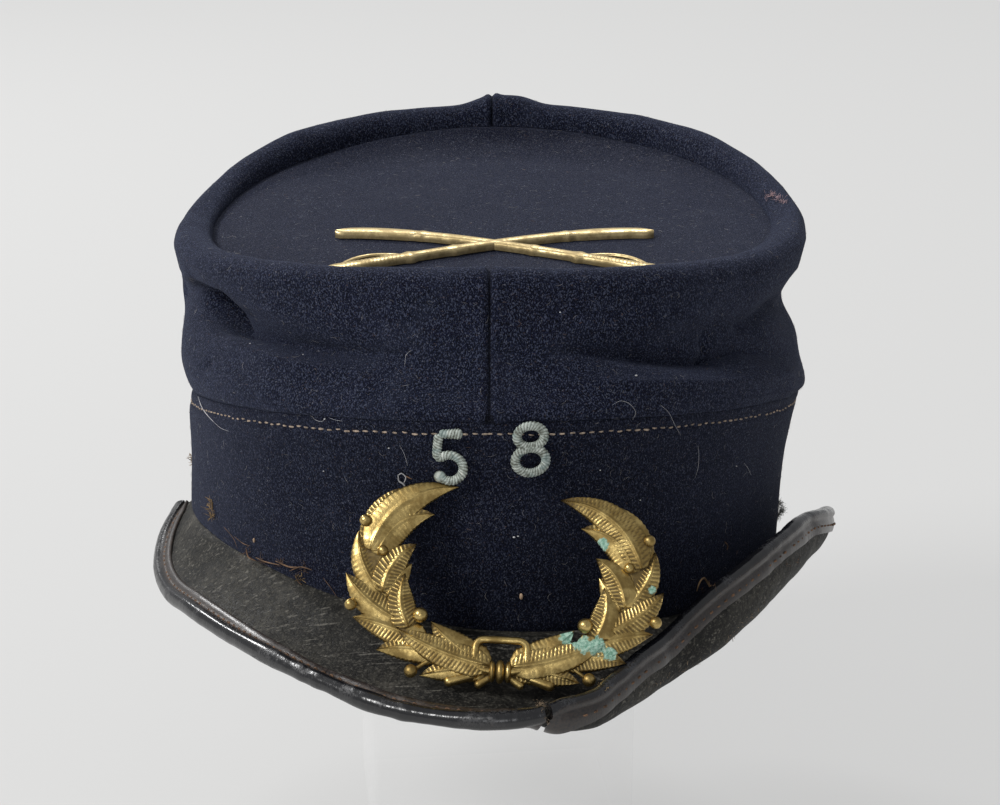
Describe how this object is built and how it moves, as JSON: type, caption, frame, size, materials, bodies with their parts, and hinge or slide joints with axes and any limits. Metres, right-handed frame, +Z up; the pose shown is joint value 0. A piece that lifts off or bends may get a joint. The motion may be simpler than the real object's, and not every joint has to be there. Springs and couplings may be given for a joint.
{
  "type": "military cap on a display stand",
  "caption": "Low-crowned wool forage cap with a sunken top, leather peak, brass wreath, numerals and crossed sabres, resting on a clear square riser.",
  "frame": {"origin": "centre of the riser's foot", "axes": "+Z up, -Y is the way the cap faces, +X towards the wearer's left, on the viewer's right"},
  "size_m": [0.1813, 0.2388, 0.1946],
  "materials": {
    "clear_plastic": "clear, polished",
    "wool": "fulled wool, matt",
    "leather": "worn and crazed, dull",
    "binding": "painted black, glossy with wrinkles",
    "brass": "worn brass with dark recesses",
    "tarnished_brass": "grey-green tarnish"
  },
  "bodies": {
    "root": {"stand": "clear_plastic", "band": "wool", "crown_left": "wool", "crown_right": "wool", "crown_tip": "wool", "peak": "leather", "binding_left": "binding", "binding_right": "binding", "wreath": "brass", "numeral_5": "tarnished_brass", "numeral_8": "tarnished_brass", "crossed_sabres": "brass"}
  },
  "joints": []
}
